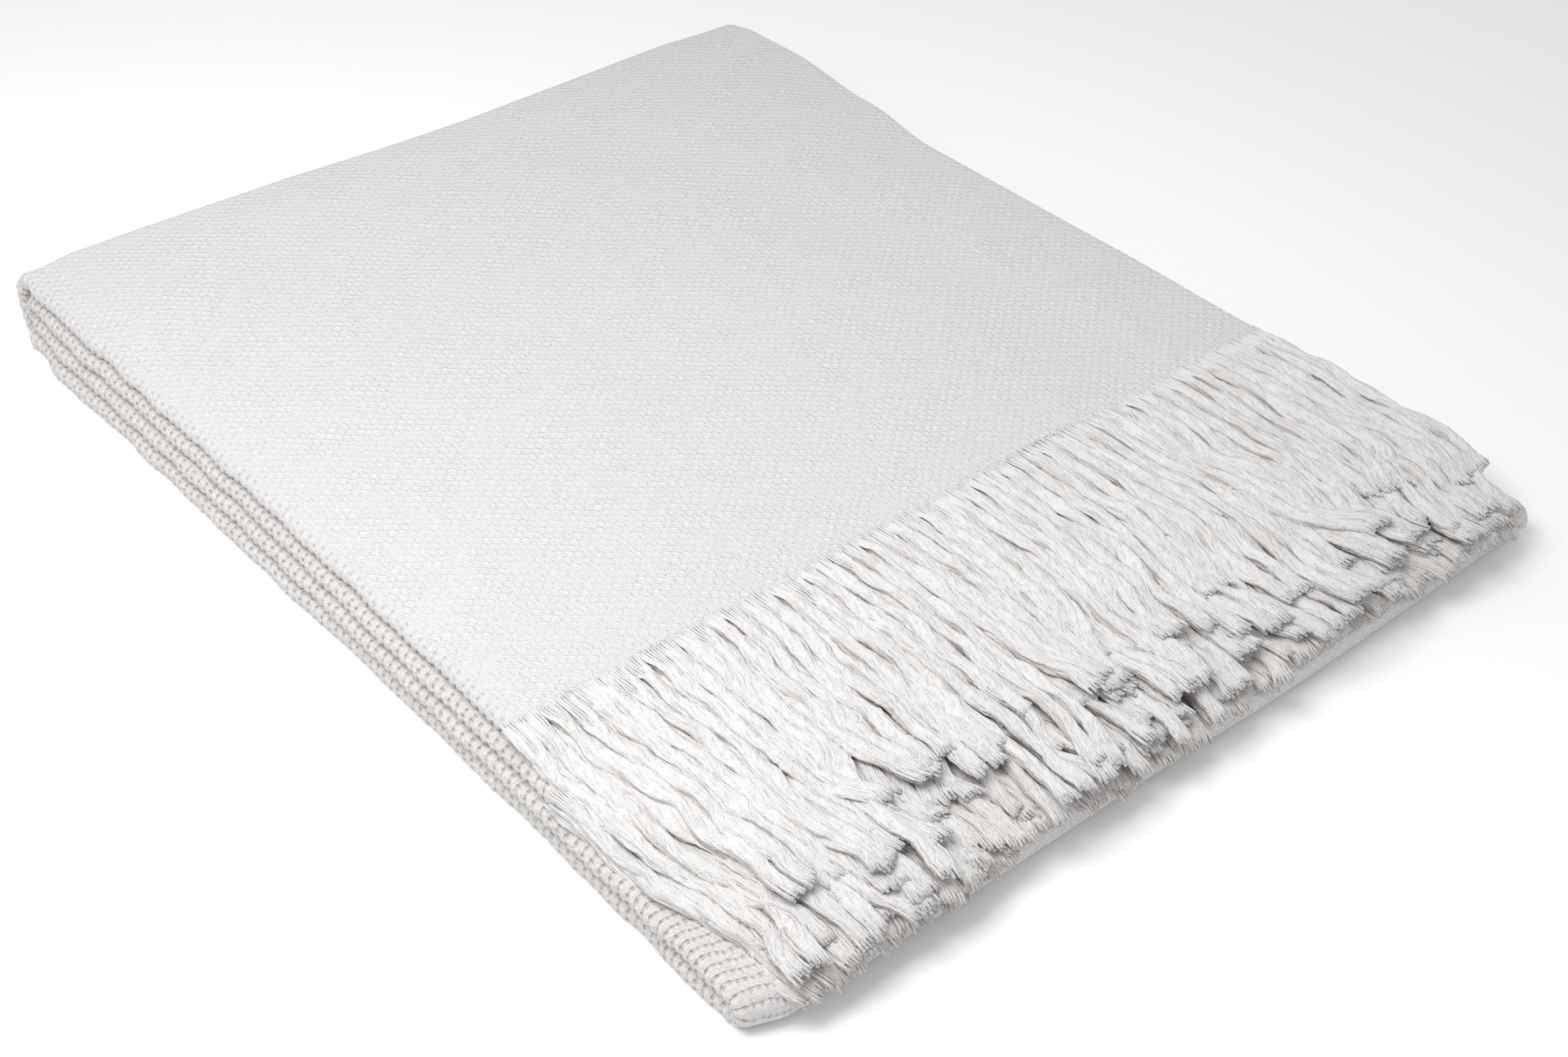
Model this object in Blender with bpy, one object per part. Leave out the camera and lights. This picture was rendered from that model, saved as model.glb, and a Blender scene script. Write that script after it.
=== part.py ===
# Folded cotton throw blanket with a twisted fringe on both short edges.
#
# The cloth is folded in thirds across its width, then in half twice along its length, which
# makes four layers of three plies. It is one sheet: its three-ply section runs along a path
# that starts at the fringe of the top layer, turns round the far end to the bottom layer,
# comes back to the near end, and ends in the second fringe, one layer under the first.
#
# Metres. X runs across the stack, with the round side folds at -X. Y runs along it, with the
# fringe at -Y. Z is up, and the origin lies on the floor under the middle of the stack.

import math
import random

import bmesh
import bpy
from mathutils import Vector

MM = 0.001
COTTON = (0.80, 0.79, 0.77)
YARN = (0.86, 0.85, 0.83)

# Plies and layers, in mm
PLY_THICKNESS = 2.4
PLY_PITCH = 2.75
LAYER_PITCH = 8.3
LAYER_THICKNESS = 2 * PLY_PITCH + PLY_THICKNESS
TUCKED_SELVEDGE = 5.5       # free selvedge inside the side fold, from the outside of the fold
INNER_FOLD_INSET = 1.5      # right-hand fold, short of the selvedge above it
SIDE_FOLD_STEPS = 6
ACROSS = (0.03, 0.12, 0.34, 0.62, 0.90)       # points along a ply, as shares of the layer's width

# Places along Y, in mm from the middle of the near fold
NEAR_FOLD = 0.0
LOWER_EDGE = 111.0          # fringed edge of the third layer
UPPER_EDGE = 144.0          # fringed edge of the top layer
INNER_FAR_FOLD = 547.0
OUTER_FAR_FOLD = 552.0
STATIONS = (16, 40, 72, 111, 144, 200, 260, 320, 380, 440, 495, 530)
OUTER_FOLD_STEPS = 8
SMALL_FOLD_STEPS = 6

# Side edges of the four layers, in mm, at places along Y
LEFT_EDGES = (
    # along, bottom, second, third, top
    (0, -5.8, -5.0, -2.0, 1.6),
    (120, -4.8, -5.2, -2.0, 1.6),
    (220, -5.2, -5.4, -2.6, 1.1),
    (330, -7.8, -5.6, -2.0, 0.6),
    (440, -9.2, -7.0, -3.6, -1.0),
    (505, -11.7, -8.5, -6.0, -2.2),
    (540, -8.8, -6.5, -4.5, -2.8),
    (570, 2.0, 2.0, 1.0, 1.0),
)
RIGHT_EDGES = (
    # along, bottom, second, third, top
    (0, 424.0, 423.0, 416.0, 419.0),
    (150, 421.0, 419.0, 415.0, 419.6),
    (240, 422.0, 420.0, 418.0, 422.0),
    (370, 425.0, 421.0, 420.0, 422.5),
    (430, 430.0, 428.0, 427.0, 431.0),
    (505, 435.0, 434.0, 435.0, 439.0),
    (540, 435.0, 433.0, 433.0, 438.5),
    (570, 428.0, 428.0, 428.0, 430.0),
)

# How the folds at the two ends wander along Y, and how the stack is fuller in places
FAR_WANDER = (
    # share of the width, shift in mm
    (0.00, 1.5),
    (0.09, 6.0),
    (0.30, 4.5),
    (0.53, -3.0),
    (0.92, 2.5),
    (1.00, -0.5),
)
NEAR_WANDER = (
    # share of the width, shift in mm
    (0.00, 9.0),
    (0.04, 3.6),
    (0.42, 2.8),
    (0.63, 0.5),
    (1.00, 2.5),
)
FAR_REACH = 150.0           # mm of Y over which the far wander fades in
NEAR_REACH = 72.0
SWELL = 0.022               # share of the height
SWELL_LENGTHS = (290.0, 330.0)          # mm across and along

# Fringe, in mm
STRANDS_PER_PLY = 27
STRAND_PITCH = 14.95
STRAND_WIDTH = 8.6
STRAND_THICKNESS = 2.3
STRAND_WAIST = 0.88         # width where the yarns are gathered, as a share
STRAND_SPLAY = 0.20         # and what it gains again towards the tip
RIDGE_SHARE = 0.60          # width of a strand's top, as a share of its foot
TIP_SHARE = 0.70            # width and thickness of the cut tip
TIP_LENGTH = 9.0
FIRST_STRAND = 20.0         # middle of the first strand, from the layer's left edge
HEADING_DEPTH = 4.0         # strip that the roots share
PARTING = 0.3               # between the cloth's edge and that strip
PILE_FULL = 107.0           # along Y: the pile thins from here to the overhang
OVERHANG = -3.0             # and slopes down past here
PILE_THINNED = 0.73
OVERHANG_SLOPE = 0.35
BENDS = (126.0, 107.0, 68.0, 30.0, -3.0)        # places along Y where a strand may bend
STRAY = 1.5                 # each strand's own lean to the side at its tip
LEAN = 3.0                  # the lean that neighbours share
LEAN_LENGTH = 140.0
FAN = 90.0                  # the strands this near a side lean out
FAN_LEFT = 9.0
FAN_RIGHT = 15.0
FULLNESS = 2.2              # how much the uppermost strands, with nothing on them, stand up
SEED = 4
STRAND_ROWS = {
    # ply: (shift of the row in pitches, nearest and farthest tip along Y, bends it uses)
    "fringe_upper": {
        1: (0.0, -9.0, 34.0, BENDS),
        0: (-0.5, -10.0, 24.0, (107.0, 30.0, -3.0)),
        -1: (-0.25, -9.0, 18.0, (107.0, 30.0, -3.0)),
    },
    "fringe_lower": {
        -1: (-0.25, -12.0, 8.0, (30.0, -3.0)),
        0: (-0.5, -13.0, 3.0, (30.0, -3.0)),
        1: (0.0, -14.0, 1.0, (68.0, 30.0, -3.0)),
    },
}


def smooth(t):
    """Ease from 0 to 1, held outside that range."""
    t = min(max(t, 0.0), 1.0)
    return t * t * (3 - 2 * t)


def read_table(rows, key, column=1):
    """Value of a column at a key, eased from one row to the next."""
    if key <= rows[0][0]:
        return rows[0][column]
    for low, high in zip(rows, rows[1:]):
        if key <= high[0]:
            share = smooth((key - low[0]) / (high[0] - low[0]))
            return low[column] + (high[column] - low[column]) * share
    return rows[-1][column]


def edges(layer, y):
    """Left and right edge of a layer, counted up from the bottom one."""
    return read_table(LEFT_EDGES, y, layer + 1), read_table(RIGHT_EDGES, y, layer + 1)


def layer_height(layer):
    """Height of the middle of a layer."""
    return LAYER_THICKNESS / 2 + layer * LAYER_PITCH


def settle(x, y, z):
    """Move a point of the evenly folded stack to its place in the uneven one, in metres."""
    left, right = edges(0, y)
    across = (x - left) / (right - left)
    far = smooth((y - OUTER_FAR_FOLD + FAR_REACH) / FAR_REACH)
    near = smooth((NEAR_REACH - y) / NEAR_REACH) if z < 2 * LAYER_PITCH else 0.0
    shift = read_table(FAR_WANDER, across) * far + read_table(NEAR_WANDER, across) * near
    wave = math.sin(math.tau * x / SWELL_LENGTHS[0]) * math.sin(math.tau * y / SWELL_LENGTHS[1])
    rise = 1 + SWELL * wave * smooth((y - UPPER_EDGE) / FAR_REACH)
    return Vector((x, y + shift, z * rise)) * MM


def arc(steps, start, end):
    """Evenly spaced angles from start to end in degrees, both kept, as radians."""
    return [math.radians(start + (end - start) * i / steps) for i in range(steps + 1)]


def section_line(top, centre, inner):
    """Middle line of the three plies, from the free selvedge to the tucked one.

    Each ply is a list of (share of the width, distance past it, strand), from left to right.
    Each point of the line is (share, distance, height, outward x, outward z, strand).
    """
    side_middle = PLY_PITCH + PLY_THICKNESS / 2
    turn_radius = PLY_PITCH / 2
    turn_middle = -(turn_radius + PLY_THICKNESS / 2 + INNER_FOLD_INSET)
    line = [(share, past, PLY_PITCH, 0.0, 1.0, strand) for share, past, strand in reversed(top)]
    for a in arc(SIDE_FOLD_STEPS, 90, 270):
        line.append((0.0, side_middle + PLY_PITCH * math.cos(a), PLY_PITCH * math.sin(a),
                     math.cos(a), math.sin(a), None))
    line += [(share, past, -PLY_PITCH, 0.0, -1.0, strand) for share, past, strand in centre]
    for a in arc(SIDE_FOLD_STEPS - 2, -90, 90):
        line.append((1.0, turn_middle + turn_radius * math.cos(a),
                     turn_radius * (math.sin(a) - 1), math.cos(a), math.sin(a), None))
    line += [(share, past, 0.0, 0.0, 1.0, strand) for share, past, strand in reversed(inner)]
    return line


def loft(bm, line, places, finish):
    """Run the section along places of (y, z, normal y, normal z, left edge, right edge).

    Returns the faces that close the last place, one for each step of the section's line.
    """
    rings = []
    for y, z, normal_y, normal_z, left, right in places:
        ring = []
        for share, past, height, out_x, out_z, _ in line:
            x = left + (right - left) * share + past
            for half in (PLY_THICKNESS / 2, -PLY_THICKNESS / 2):
                h = height + out_z * half
                ring.append(bm.verts.new(finish(x + out_x * half, y + h * normal_y,
                                                z + h * normal_z)))
        rings.append(ring)
    count = len(line)
    around = [2 * i for i in range(count)] + [2 * i + 1 for i in reversed(range(count))]
    for ring, following in zip(rings, rings[1:]):
        for a, b in zip(around, around[1:] + around[:1]):
            bm.faces.new((ring[a], ring[b], following[b], following[a]))
    ends = []
    for ring in (rings[0], rings[-1]):
        ends.append([bm.faces.new((ring[2 * i], ring[2 * i + 1], ring[2 * i + 3], ring[2 * i + 2]))
                     for i in range(count - 1)])
    return ends[1]


def fold_path():
    """Places of the section along the folded sheet, from one fringed edge to the other."""
    places = []

    def straight(layer, first, last, up):
        near, far = min(first, last), max(first, last)
        run = [near] + [y for y in STATIONS if near < y < far] + [far]
        for y in run if first < last else reversed(run):
            places.append((y, layer_height(layer), 0.0, up, *edges(layer, y)))

    def fold(leaving, arriving, y, steps, start, end, out):
        middle = (layer_height(leaving) + layer_height(arriving)) / 2
        radius = abs(layer_height(leaving) - layer_height(arriving)) / 2
        before, after = edges(leaving, y), edges(arriving, y)
        for i, a in enumerate(arc(steps, start, end)[1:-1], 1):
            left, right = (b + (c - b) * i / steps for b, c in zip(before, after))
            places.append((y + radius * math.cos(a), middle + radius * math.sin(a),
                           out * math.cos(a), out * math.sin(a), left, right))

    straight(3, UPPER_EDGE, OUTER_FAR_FOLD, 1.0)
    fold(3, 0, OUTER_FAR_FOLD, OUTER_FOLD_STEPS, 90, -90, 1.0)
    straight(0, OUTER_FAR_FOLD, NEAR_FOLD, -1.0)
    fold(0, 1, NEAR_FOLD, SMALL_FOLD_STEPS, -90, -270, 1.0)
    straight(1, NEAR_FOLD, INNER_FAR_FOLD, 1.0)
    fold(1, 2, INNER_FAR_FOLD, SMALL_FOLD_STEPS, -90, 90, -1.0)
    straight(2, INNER_FAR_FOLD, LOWER_EDGE, -1.0)
    return places


def build_cloth():
    """The folded sheet: its section carried along the whole fold path."""
    bm = bmesh.new()
    ply = [(share, 0.0, None) for share in ACROSS]
    line = section_line(ply + [(1.0, 0.0, None)], ply, [(0.0, TUCKED_SELVEDGE, None)] + ply)
    loft(bm, line, fold_path(), settle)
    return bm


def strand_stops(root, tip, bends):
    """Places along Y where a strand has a section."""
    stops = [y for y in bends if tip < y < root - 2]
    if (stops[-1] if stops else root) - tip > 1.5 * TIP_LENGTH:
        stops.append(tip + TIP_LENGTH)
    return stops + [tip]


def pile_height(root_height, y):
    """Height of a strand's middle: the pile thins towards the near fold and droops past it."""
    base = 2 * LAYER_PITCH
    thin = 1 + (PILE_THINNED - 1) * min(max((PILE_FULL - y) / (PILE_FULL - OVERHANG), 0.0), 1.0)
    return base + (root_height - base) * thin - OVERHANG_SLOPE * max(OVERHANG - y, 0.0), thin


def grow_strand(bm, foot, root, tip, bends, lean, fullness):
    """Extrude a strand from its foot, a face of the heading, out to its tip."""
    middle = foot.calc_center_median() / MM
    for y in strand_stops(root, tip, bends):
        share = (root - y) / (root - tip)
        z, thin = pile_height(middle.z, y)
        end = TIP_SHARE if y == tip else 1.0
        width = STRAND_WIDTH * (STRAND_WAIST + STRAND_SPLAY * share ** 2) * end
        thickness = STRAND_THICKNESS * thin * end
        x = middle.x + lean * ((root - y) / root) ** 1.1
        top = thickness / 2 + fullness * math.sin(math.pi * min(2 * share, 1.6) / 2) * end
        foot = bmesh.ops.extrude_discrete_faces(bm, faces=[foot])["faces"][0]
        centre = foot.calc_center_median()
        for corner in foot.verts:
            upper = corner.co.z > centre.z
            reach = width / 2 * (RIDGE_SHARE if upper else 1.0)
            corner.co = Vector((x + (reach if corner.co.x > centre.x else -reach), y,
                                z + (top if upper else -thickness / 2))) * MM


def build_fringe(name, layer, edge, up):
    """Heading strip along a fringed edge, and the strands that grow from it."""
    left, right = edges(layer, edge)
    rows = STRAND_ROWS[name]

    def feet(ply):
        places = []
        for i in range(STRANDS_PER_PLY):
            middle = FIRST_STRAND + (i + rows[ply][0]) * STRAND_PITCH
            places.append((0.0, middle - STRAND_WIDTH / 2, (ply, i)))
            places.append((0.0, middle + STRAND_WIDTH / 2, (ply, i)))
        return places

    line = section_line(feet(1) + [(1.0, 0.0, None)], feet(-1),
                        [(0.0, TUCKED_SELVEDGE, None)] + feet(0))
    back = edge - PARTING
    root = back - HEADING_DEPTH
    places = [(y, layer_height(layer), 0.0, up, left, right) for y in (back, root)]
    bm = bmesh.new()
    front = loft(bm, line, places, lambda x, y, z: Vector((x, y, z)) * MM)
    chance = random.Random(SEED)
    for face, here, following in zip(front, line, line[1:]):
        if here[5] is None or here[5] != following[5]:
            continue
        x = face.calc_center_median().x / MM
        _, nearest, farthest, bends = rows[here[5][0]]
        tip = chance.uniform(nearest, farthest)
        if tip < OVERHANG:
            tip = min(tip, OVERHANG - 2)
        lean = chance.uniform(-STRAY, STRAY) + LEAN * math.sin(math.tau * x / LEAN_LENGTH)
        lean -= FAN_LEFT * smooth((left + FAN - x) / FAN)
        lean += FAN_RIGHT * smooth((x - right + FAN) / FAN)
        fullness = FULLNESS if bends is BENDS else 0.0
        grow_strand(bm, face, root, tip, bends, lean, fullness)
    return bm


def cotton(name, colour):
    material = bpy.data.materials.new(name)
    material.use_nodes = True
    shader = material.node_tree.nodes["Principled BSDF"]
    shader.inputs["Base Color"].default_value = (*colour, 1.0)
    shader.inputs["Roughness"].default_value = 0.95
    return material


def add_object(name, bm, colour, collection, centre):
    """Turn a bmesh into a named object with a material of its own."""
    bmesh.ops.recalc_face_normals(bm, faces=bm.faces)
    mesh = bpy.data.meshes.new(name)
    bm.to_mesh(mesh)
    bm.free()
    mesh.materials.append(cotton(name + "_cotton", colour))
    piece = bpy.data.objects.new(name, mesh)
    piece.parent = centre
    collection.objects.link(piece)
    return piece


def build():
    for old in list(bpy.data.objects):
        bpy.data.objects.remove(old, do_unlink=True)
    collection = bpy.data.collections.new("folded_blanket")
    bpy.context.scene.collection.children.link(collection)
    centre = bpy.data.objects.new("centre", None)
    collection.objects.link(centre)
    pieces = [
        add_object("blanket_cloth", build_cloth(), COTTON, collection, centre),
        add_object("fringe_upper", build_fringe("fringe_upper", 3, UPPER_EDGE, 1.0),
                   YARN, collection, centre),
        add_object("fringe_lower", build_fringe("fringe_lower", 2, LOWER_EDGE, -1.0),
                   YARN, collection, centre),
    ]
    for axis in (0, 1):
        reach = [v.co[axis] for piece in pieces for v in piece.data.vertices]
        centre.location[axis] = -(min(reach) + max(reach)) / 2


build()
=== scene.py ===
import math
import random
from types import SimpleNamespace
import bpy
import numpy as np
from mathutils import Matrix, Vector


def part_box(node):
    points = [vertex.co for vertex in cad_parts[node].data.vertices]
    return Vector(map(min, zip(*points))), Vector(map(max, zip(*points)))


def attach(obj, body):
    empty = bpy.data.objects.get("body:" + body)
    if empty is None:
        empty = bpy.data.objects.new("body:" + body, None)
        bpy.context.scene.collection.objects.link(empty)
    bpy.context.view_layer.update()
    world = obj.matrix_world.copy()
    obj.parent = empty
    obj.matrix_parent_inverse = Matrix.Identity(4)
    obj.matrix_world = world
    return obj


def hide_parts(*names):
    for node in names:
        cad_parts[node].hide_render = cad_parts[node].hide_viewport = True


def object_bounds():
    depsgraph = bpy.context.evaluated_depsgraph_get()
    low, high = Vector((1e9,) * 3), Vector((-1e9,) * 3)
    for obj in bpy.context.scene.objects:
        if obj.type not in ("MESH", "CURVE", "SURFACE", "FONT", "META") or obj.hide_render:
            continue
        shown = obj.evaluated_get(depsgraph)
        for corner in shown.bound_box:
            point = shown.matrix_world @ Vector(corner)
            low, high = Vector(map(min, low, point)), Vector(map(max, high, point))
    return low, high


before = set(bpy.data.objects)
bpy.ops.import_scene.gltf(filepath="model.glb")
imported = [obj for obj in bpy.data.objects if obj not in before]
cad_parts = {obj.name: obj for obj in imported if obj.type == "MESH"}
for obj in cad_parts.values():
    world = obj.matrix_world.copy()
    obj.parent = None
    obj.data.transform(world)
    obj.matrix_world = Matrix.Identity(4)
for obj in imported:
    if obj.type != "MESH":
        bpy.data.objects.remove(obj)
cadLow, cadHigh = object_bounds()

# Folded cotton throw: one woven sheet, in thirds across and in quarters along, with a twisted
# fringe on both short edges. The tables hold millimetres, counted from the middle of the near
# fold at the left corner of the stack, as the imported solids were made.
mm = 0.001
topLayer = 3

stackPlan = {
    "plyPitch": 2.75,
    "plyThickness": 2.4,
    "layerPitch": 8.3,
    "nearFold": 0.0,
    "lowerEdge": 111.0,        # fringed edge of the third layer
    "upperEdge": 144.0,        # fringed edge of the top layer
    "innerFarFold": 547.0,
    "outerFarFold": 552.0,
    "parting": 0.3,            # from the cloth's edge to the solid of the fringe
    "tuckedSelvedge": 5.5,
    "innerFoldInset": 1.5,
    "leftEdges": (
        # along, bottom, second, third, top
        (0, -5.8, -5.0, -2.0, 1.6),
        (120, -4.8, -5.2, -2.0, 1.6),
        (220, -5.2, -5.4, -2.6, 1.1),
        (330, -7.8, -5.6, -2.0, 0.6),
        (440, -9.2, -7.0, -3.6, -1.0),
        (505, -11.7, -8.5, -6.0, -2.2),
        (540, -8.8, -6.5, -4.5, -2.8),
        (570, 2.0, 2.0, 1.0, 1.0),
    ),
    "rightEdges": (
        # along, bottom, second, third, top
        (0, 424.0, 423.0, 416.0, 419.0),
        (150, 421.0, 419.0, 415.0, 419.6),
        (240, 422.0, 420.0, 418.0, 422.0),
        (370, 425.0, 421.0, 420.0, 422.5),
        (430, 430.0, 428.0, 427.0, 431.0),
        (505, 435.0, 434.0, 435.0, 439.0),
        (540, 435.0, 433.0, 433.0, 438.5),
        (570, 428.0, 428.0, 428.0, 430.0),
    ),
    "farWander": ((0.00, 1.5), (0.09, 6.0), (0.30, 4.5), (0.53, -3.0), (0.92, 2.5), (1.00, -0.5)),
    "nearWander": ((0.00, 9.0), (0.04, 3.6), (0.42, 2.8), (0.63, 0.5), (1.00, 2.5)),
    "farReach": 150.0,
    "nearReach": 72.0,
    "swell": 0.022,
    "swellLengths": (290.0, 330.0),
}


# Shared helpers

def ease(share):
    share = np.clip(share, 0.0, 1.0)
    return share * share * (3 - 2 * share)


def easedColumn(rows, at, column=1):
    keys = np.array([row[0] for row in rows], float)
    values = np.array([row[column] for row in rows], float)
    at = np.clip(at, keys[0], keys[-1])
    low = np.clip(np.searchsorted(keys, at, side="right") - 1, 0, len(keys) - 2)
    share = ease((at - keys[low]) / (keys[low + 1] - keys[low]))
    return values[low] + (values[low + 1] - values[low]) * share


def layerEdges(layer, along):
    left = easedColumn(stackPlan["leftEdges"], along, layer + 1)
    return left, easedColumn(stackPlan["rightEdges"], along, layer + 1)


def layerHeight(layer):
    plan = stackPlan
    return plan["plyPitch"] + plan["plyThickness"] / 2 + layer * plan["layerPitch"]


def ripples(a, b, shortest, longest, count, seed):
    # Smooth unevenness about -1 to 1: waves in many directions
    chance = random.Random(seed)
    total = np.zeros(np.broadcast(a, b).shape)
    for _ in range(count):
        length = math.exp(chance.uniform(math.log(shortest), math.log(longest)))
        turn = chance.uniform(0, math.tau)
        total += np.sin(math.tau / length * (a * math.cos(turn) + b * math.sin(turn))
                        + chance.uniform(0, math.tau))
    return total / math.sqrt(count)


def stackOrigin():
    # Where the tables' zero lies in the frame: the upper fringe's solid starts a parting short
    # of the top layer's edge, and its left side is that layer's left side
    low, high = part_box("fringe_upper")
    left = float(layerEdges(topLayer, stackPlan["upperEdge"])[0])
    back = stackPlan["upperEdge"] - stackPlan["parting"]
    return np.array((low[0] - left * mm, high[1] - back * mm, cadLow[2]))


stackZero = stackOrigin()


def makeObject(name, points, faces, fields, material):
    # points in stack millimetres, fields are float or vector values for each point
    mesh = bpy.data.meshes.new(name)
    mesh.from_pydata((points * mm + stackZero).tolist(), [], faces)
    for key, values in fields.items():
        kind = "FLOAT_VECTOR" if values.ndim == 2 else "FLOAT"
        field = mesh.attributes.new(key, kind, "POINT")
        field.data.foreach_set("vector" if values.ndim == 2 else "value",
                               values.astype(np.float32).ravel())
    mesh.shade_smooth()
    mesh.materials.append(material)
    piece = bpy.data.objects.new(name, mesh)
    bpy.context.scene.collection.objects.link(piece)
    return piece


def addNode(tree, kind, sources=(), **settings):
    node = tree.nodes.new(kind)
    for name, value in settings.items():
        setattr(node, name, value)
    pairs = sources.items() if isinstance(sources, dict) else enumerate(sources)
    for key, source in pairs:
        if isinstance(source, bpy.types.NodeSocket):
            tree.links.new(source, node.inputs[key])
        else:
            node.inputs[key].default_value = source
    return node


def calc(tree, operation, *values):
    return addNode(tree, "ShaderNodeMath", values, operation=operation).outputs[0]


def calcVector(tree, operation, *values):
    return addNode(tree, "ShaderNodeVectorMath", values, operation=operation).outputs[0]


def mapTo(tree, value, low, high, newLow, newHigh):
    return addNode(tree, "ShaderNodeMapRange", (value, low, high, newLow, newHigh),
                   interpolation_type="SMOOTHSTEP", clamp=True).outputs[0]


def noiseAt(tree, vector, scale, detail=2.0, roughness=0.5):
    sources = {"Vector": vector, "Scale": scale, "Detail": detail, "Roughness": roughness}
    return addNode(tree, "ShaderNodeTexNoise", sources).outputs["Fac"]


def blendColours(tree, share, first, second):
    node = addNode(tree, "ShaderNodeMix", {0: share, 6: first, 7: second},
                   data_type="RGBA", blend_type="MIX")
    return node.outputs[2]


def newGroup(name, inputs, outputs):
    group = bpy.data.node_groups.new(name, "ShaderNodeTree")
    for label, kind, value in inputs:
        socket = group.interface.new_socket(label, in_out="INPUT", socket_type=kind)
        if value is not None:
            socket.default_value = value
    for label, kind in outputs:
        group.interface.new_socket(label, in_out="OUTPUT", socket_type=kind)
    return group, group.nodes.new("NodeGroupInput"), group.nodes.new("NodeGroupOutput")


def useGroup(tree, group, sources):
    return addNode(tree, "ShaderNodeGroup", sources, node_tree=group)


# Materials

clothLook = {
    "thread": (0.765, 0.756, 0.758, 1.0),
    "floatHighlight": (0.88, 0.872, 0.878, 1.0),       # painted highlight on the floats' crowns
    "shaded": (0.56, 0.545, 0.53, 1.0),        # painted shade between the threads, also the dark end of the random mottle
    "folded": (0.75, 0.725, 0.705, 1.0),       # painted shade on the side folds, where they also open the weave
    "holeShade": (0.47, 0.44, 0.41, 1.0),         # painted shade in the pin holes of the opened weave
    "repeat": (0.0061, 0.0052),                # metres across and along
    # Place in the repeat, turn in degrees and half sizes of a raised float and a pin hole
    "float": ((0.0, 0.0), 38.0, (0.0025, 0.0012)),
    "pit": ((0.42, 0.05), -38.0, (0.0013, 0.0008)),
    "sway": (0.0034, 0.0028, 0.0),             # the threads wander by up to half of this
    "tooth": 0.00245,                          # between pin holes along a rib
    "pitShare": 0.38,                          # how far painted shade darkens the cloth in its pin holes
    "holeShare": 0.27,                         # and in those of the opened weave
    "ribRelief": 1.1,
    "fluff": 0.85,
    "grain": 1500.0,
    "relief": 0.00135,
    "bump": 0.8,
    "roughness": 0.92,
    "sheen": 0.12,
    "specular": 0.2,
}

yarnLook = {
    "bright": (0.84, 0.83, 0.825, 1.0),
    "dull": (0.73, 0.714, 0.703, 1.0),
    "grooveShade": (0.60, 0.575, 0.56, 1.0),        # painted shade between a strand's threads
    "rooted": (0.77, 0.76, 0.755, 1.0),        # beside the cloth
    "deepShade": (0.63, 0.565, 0.515, 1.0),         # painted shade down in the pile and between strands
    "threads": 12.0,                           # seen round a strand
    "twist": 9.0,                              # turns of them in a metre
    "grooveShare": 0.13,
    "grooveDepth": -0.24,
    "deepShare": 0.85,
    "rootFade": (0.003, 0.016),                # metres from the start of the strand
    "fluff": 0.4,
    "fibreRelief": 1.1,
    "grain": 1900.0,
    "relief": 0.0018,
    "bump": 0.75,
    "rootBump": -0.3,                          # less relief beside the cloth
    "roughness": 0.88,
    "sheen": 0.10,
    "specular": 0.2,
}


def newMaterial(name):
    material = bpy.data.materials.new(name)
    material.use_nodes = True
    return material, material.node_tree, material.node_tree.nodes["Principled BSDF"]


def finishMaterial(tree, shader, look, colour, relief, strength):
    bump = addNode(tree, "ShaderNodeBump", {"Height": relief, "Distance": look["relief"],
                                            "Strength": strength})
    tree.links.new(colour, shader.inputs["Base Color"])
    tree.links.new(bump.outputs["Normal"], shader.inputs["Normal"])
    shader.inputs["Roughness"].default_value = look["roughness"]
    shader.inputs["Sheen Weight"].default_value = look["sheen"]
    shader.inputs["Specular IOR Level"].default_value = look["specular"]


def makeFluffGroup():
    # Short cotton fibres standing off the thread: a fine grain and a soft mottle
    group, start, end = newGroup(
        "cottonFluff",
        (("Place", "NodeSocketVector", None), ("Grain", "NodeSocketFloat", 1600.0)),
        (("Height", "NodeSocketFloat"), ("Mottle", "NodeSocketFloat")))
    fine = noiseAt(group, start.outputs["Place"], start.outputs["Grain"], 2.0, 0.6)
    broad = noiseAt(group, start.outputs["Place"], 55.0, 2.0, 0.55)
    group.links.new(fine, end.inputs["Height"])
    group.links.new(broad, end.inputs["Mottle"])
    return group


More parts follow.
